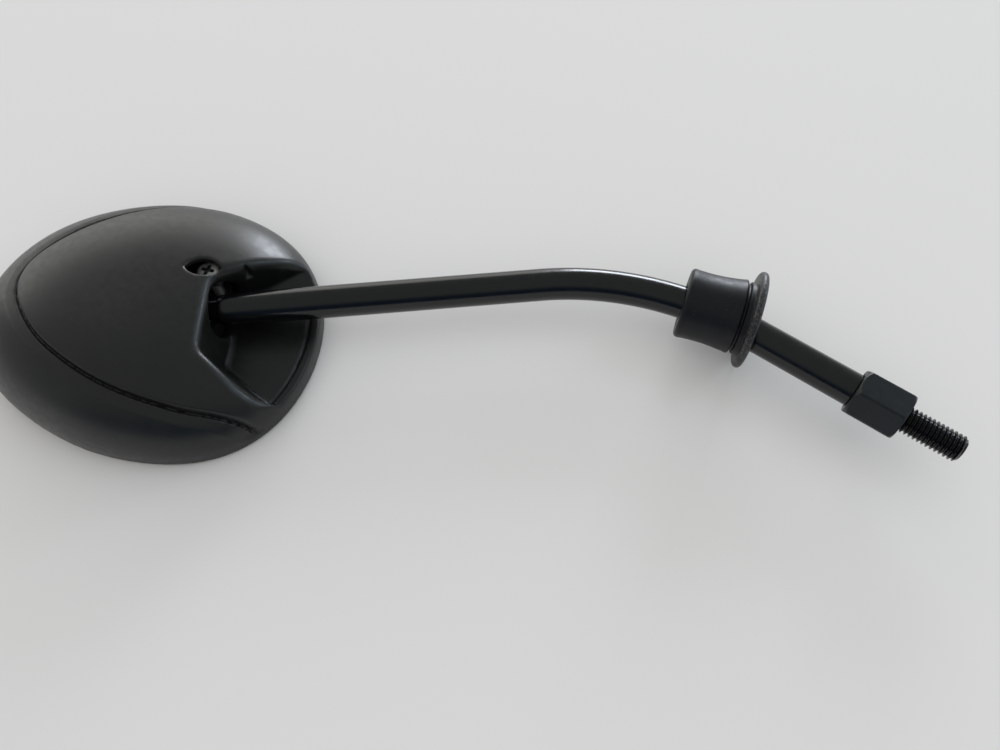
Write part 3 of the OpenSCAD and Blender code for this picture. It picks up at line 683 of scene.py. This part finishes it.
def shell_field(x, y, z):
    """Distance, about, to the shell's surface, negative inside the plastic."""
    f = plan_fields(x, y)
    line_low, line_high, follows = 3 + 5 * f["upper"], 6 + 9 * f["upper"], 0.8
    line = f["line"] * step01(z, line_low, line_high)
    solid = smooth_max(dome_distance(x, y, z, 0) + line, EDGE_GAP - z, EDGE_ROUND)
    recess_round = 0.9 + 2.1 * step01(z, 8.5, 13.0)
    solid = smooth_max(solid, -recess_space(f, y, z), recess_round)
    inner = dome_distance(x, y, z, WALL) + follows * line
    solid = np.maximum(solid, -np.maximum(inner, -kept_inside(f, z)))
    solid = smooth_max(solid, -np.maximum(f["notch"], NOTCH_H - z), NOTCH_ROUND)
    solid = smooth_max(solid, -np.maximum(f["slot"], PLATE_HIGH - z), SLOT_ROUND)
    solid = smooth_max(solid, -neck_hole(x, y, z), HOLE_ROUND)
    screw_holes = np.maximum(f["bosses"] - SCREW_HOLE_R, z - (PLATE_LOW + PLATE_T + SCREW_HOLE_LEN))
    return np.maximum(solid, -screw_holes)


def make_shell():
    """The shell's field as a mesh: quads from a grid, made finer at edges and moved onto the surface."""
    h = 0.5
    moves = 4
    low, high = np.array([-55.0, -47.0, -0.6]), np.array([55.0, 52.0, 29.4])
    x = np.arange(low[0], high[0], h).reshape(-1, 1, 1)
    y = np.arange(low[1], high[1], h).reshape(1, -1, 1)
    z = np.arange(low[2], high[2], h).reshape(1, 1, -1)
    values = np.clip(shell_field(x, y, z), -3 * h, 3 * h).astype(np.float32)
    grid = vdb.FloatGrid(3 * h)
    grid.copyFromArray(values)
    points, quads = grid.convertToQuads()
    p = points.astype(float) * h + low
    p, faces = finer_line(p, quads)
    for _ in range(moves):
        p -= newton_step(p)
    piece = make_piece("housing", head_to_cad(p), faces, plastic, "head",
                       ["rear_shell"], 60)
    thin_inside(piece, p)
    return piece


def finer_line(p, quads):
    """Smaller faces along the step line, round the slot and the notch, and at the recess's rim."""
    work = bmesh.new()
    for point in p:
        work.verts.new(point)
    work.verts.ensure_lookup_table()
    for quad in quads:
        work.faces.new([work.verts[i] for i in quad])
    f = plan_fields(p[:, 0], p[:, 1])
    near = (f["near_line"] < 1.5) | (np.abs(f["slot"]) < 0.9) | (f["notch"] < 0.8)
    in_recess = f["recess"] < 0.6
    near |= in_recess & (f["rim"] > -2.4) & (f["rim"] < 0.6)
    near &= (dome_distance(p[:, 0], p[:, 1], p[:, 2], 0) > -1.9) | (p[:, 2] > 5.0) & in_recess
    chosen = [e for e in work.edges if near[e.verts[0].index] and near[e.verts[1].index]]
    bmesh.ops.subdivide_edges(work, edges=chosen, cuts=1, use_grid_fill=True)
    work.verts.index_update()
    points = np.array([v.co[:] for v in work.verts])
    faces = [[v.index for v in face.verts] for face in work.faces]
    work.free()
    return points, faces


def newton_step(p):
    """The move that brings each point towards the surface, with bounded length."""
    e, longest = 0.03, 0.25
    x, y, z = p.T
    value = shell_field(x, y, z)
    slope = np.stack([shell_field(x + e, y, z) - shell_field(x - e, y, z),
                      shell_field(x, y + e, z) - shell_field(x, y - e, z),
                      shell_field(x, y, z + e) - shell_field(x, y, z - e)], -1) / (2 * e)
    square = np.maximum((slope ** 2).sum(1), 0.2)
    move = slope * (value / square)[:, None]
    length = np.linalg.norm(move, axis=1, keepdims=True)
    return move * np.minimum(1, longest / np.maximum(length, 1e-9))


def thin_inside(piece, p):
    """Fewer faces on the inner side, away from the recess and the slot."""
    inner_inset, kept_share = 1.4, 0.55
    depth = dome_distance(p[:, 0], p[:, 1], p[:, 2], inner_inset)
    f = plan_fields(p[:, 0], p[:, 1])
    hidden = (depth < 0) & ((f["recess"] > 1.0) | (p[:, 2] < FLOOR_H - 0.8)) & (f["slot"] > 1.5)
    group = piece.vertex_groups.new(name="inside")
    group.add(np.nonzero(hidden)[0].tolist(), 1.0, "REPLACE")
    modifier = piece.modifiers.new("thin", "DECIMATE")
    modifier.vertex_group = "inside"
    modifier.ratio = kept_share
    bpy.context.view_layer.objects.active = piece
    with bpy.context.temp_override(object=piece, active_object=piece):
        bpy.ops.object.modifier_apply(modifier="thin")


make_stem()
make_nut()
make_boot()
make_gasket()
make_glass()
make_screw()
make_shell()


# Pieces that keep their CAD shape

CAD_FINISH = {"foam_pad": foam, "liner_rear": nylon, "liner_front": nylon, "clamp_plate_rear": dull_steel,
              "clamp_plate_front": dull_steel, "spring_washer": steel, "tension_nut": steel,
              "fixing_screws": steel}

for name, material in CAD_FINISH.items():
    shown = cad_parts[name]
    shown.data.materials.clear()
    shown.data.materials.append(material)


# Floor, light and camera

def make_floor():
    """A wide, dull, pale floor, a hair under the part."""
    size, z = 15.0, -(AXIS_H + 0.05) * MM
    mesh = bpy.data.meshes.new("floor")
    corners = [(-size, -size, z), (size, -size, z), (size, size, z), (-size, size, z)]
    mesh.from_pydata(corners, [], [(0, 1, 2, 3)])
    material = bpy.data.materials.new("floor")
    material.use_nodes = True
    shader = material.node_tree.nodes["Principled BSDF"]
    shader.inputs["Base Color"].default_value = (0.66, 0.655, 0.64, 1)
    shader.inputs["Roughness"].default_value = 0.9
    shader.inputs["Specular IOR Level"].default_value = 0.1
    mesh.materials.append(material)
    floor = bpy.data.objects.new("floor", mesh)
    bpy.context.scene.collection.objects.link(floor)


LIGHT_MIDDLE = Vector((-0.08, -0.04, 0.0))
LIGHT_DISTANCE = 4.0


def area_light(name, azimuth, elevation, width, height, radiance, colour):
    """A soft rectangular lamp that faces the object and shows with this radiance."""
    data = bpy.data.lights.new(name, "AREA")
    data.shape = "RECTANGLE"
    data.size, data.size_y = width, height
    data.energy = radiance * math.pi * width * height
    data.color = colour
    lamp = bpy.data.objects.new(name, data)
    direction = Vector(table_dir(azimuth, elevation))
    lamp.location = LIGHT_MIDDLE + direction * LIGHT_DISTANCE
    lamp.rotation_mode = "QUATERNION"
    lamp.rotation_quaternion = direction.to_track_quat("Z", "Y")
    bpy.context.scene.collection.objects.link(lamp)


def make_world():
    """An even pale room. Glossy surfaces see it darker on the viewer's side."""
    world = bpy.data.worlds.new("room")
    world.use_nodes = True
    tree = world.node_tree
    even = tree.nodes["Background"]
    even.inputs["Color"].default_value = (0.985, 0.985, 0.98, 1)
    even.inputs["Strength"].default_value = 0.83
    seen = node(tree, "ShaderNodeBackground", Strength=1.0)
    place = tree.nodes.new("ShaderNodeTexCoord")
    lean = tree.nodes.new("ShaderNodeVectorMath")
    lean.operation = "DOT_PRODUCT"
    lean.inputs[1].default_value = table_dir(0, 35).tolist()
    tree.links.new(place.outputs["Generated"], lean.inputs[0])
    rise = ramp(tree, lean.outputs["Value"], -0.58, -0.14)
    tree.links.new(mix_colour(tree, rise, (0.05, 0.09, 0.16), (0.36, 0.38, 0.37)), seen.inputs["Color"])
    path = tree.nodes.new("ShaderNodeLightPath")
    both = tree.nodes.new("ShaderNodeMixShader")
    tree.links.new(path.outputs["Is Glossy Ray"], both.inputs[0])
    tree.links.new(even.outputs[0], both.inputs[1])
    tree.links.new(seen.outputs[0], both.inputs[2])
    tree.links.new(both.outputs[0], tree.nodes["World Output"].inputs["Surface"])
    bpy.context.scene.world = world


def make_light():
    """Lamps in the directions that the photograph's highlights come from."""
    area_light("far_wall", -21, 15, 8.0, 2.2, 1.35, (1.0, 0.97, 0.92))
    area_light("window", 16, 11, 1.54, 1.23, 13.5, (0.84, 0.90, 1.0))
    area_light("low_window", 59, 14, 0.92, 0.77, 8.0, (0.72, 0.84, 1.0))
    area_light("side_window", 82, 35, 1.87, 1.87, 1.6, (0.62, 0.80, 1.0))
    make_world()


CAMERA_AT = (-0.0364, -0.1414, 0.1908)
CAMERA_BACK = Vector((0.2884, -0.3897, 0.8746))


def make_camera():
    """The camera at the photograph's viewing angle."""
    data = bpy.data.cameras.new("camera")
    data.sensor_width = 36.0
    data.lens = 27.04
    data.clip_start, data.clip_end = 0.01, 20.0
    camera = bpy.data.objects.new("camera", data)
    right = Vector(RIGHT)
    rotation = Matrix((right, CAMERA_BACK.cross(right), CAMERA_BACK)).transposed()
    camera.matrix_world = Matrix.Translation(CAMERA_AT) @ rotation.to_4x4()
    bpy.context.scene.collection.objects.link(camera)
    bpy.context.scene.camera = camera


make_floor()
make_light()
make_camera()
bpy.context.scene.view_settings.view_transform = "Standard"
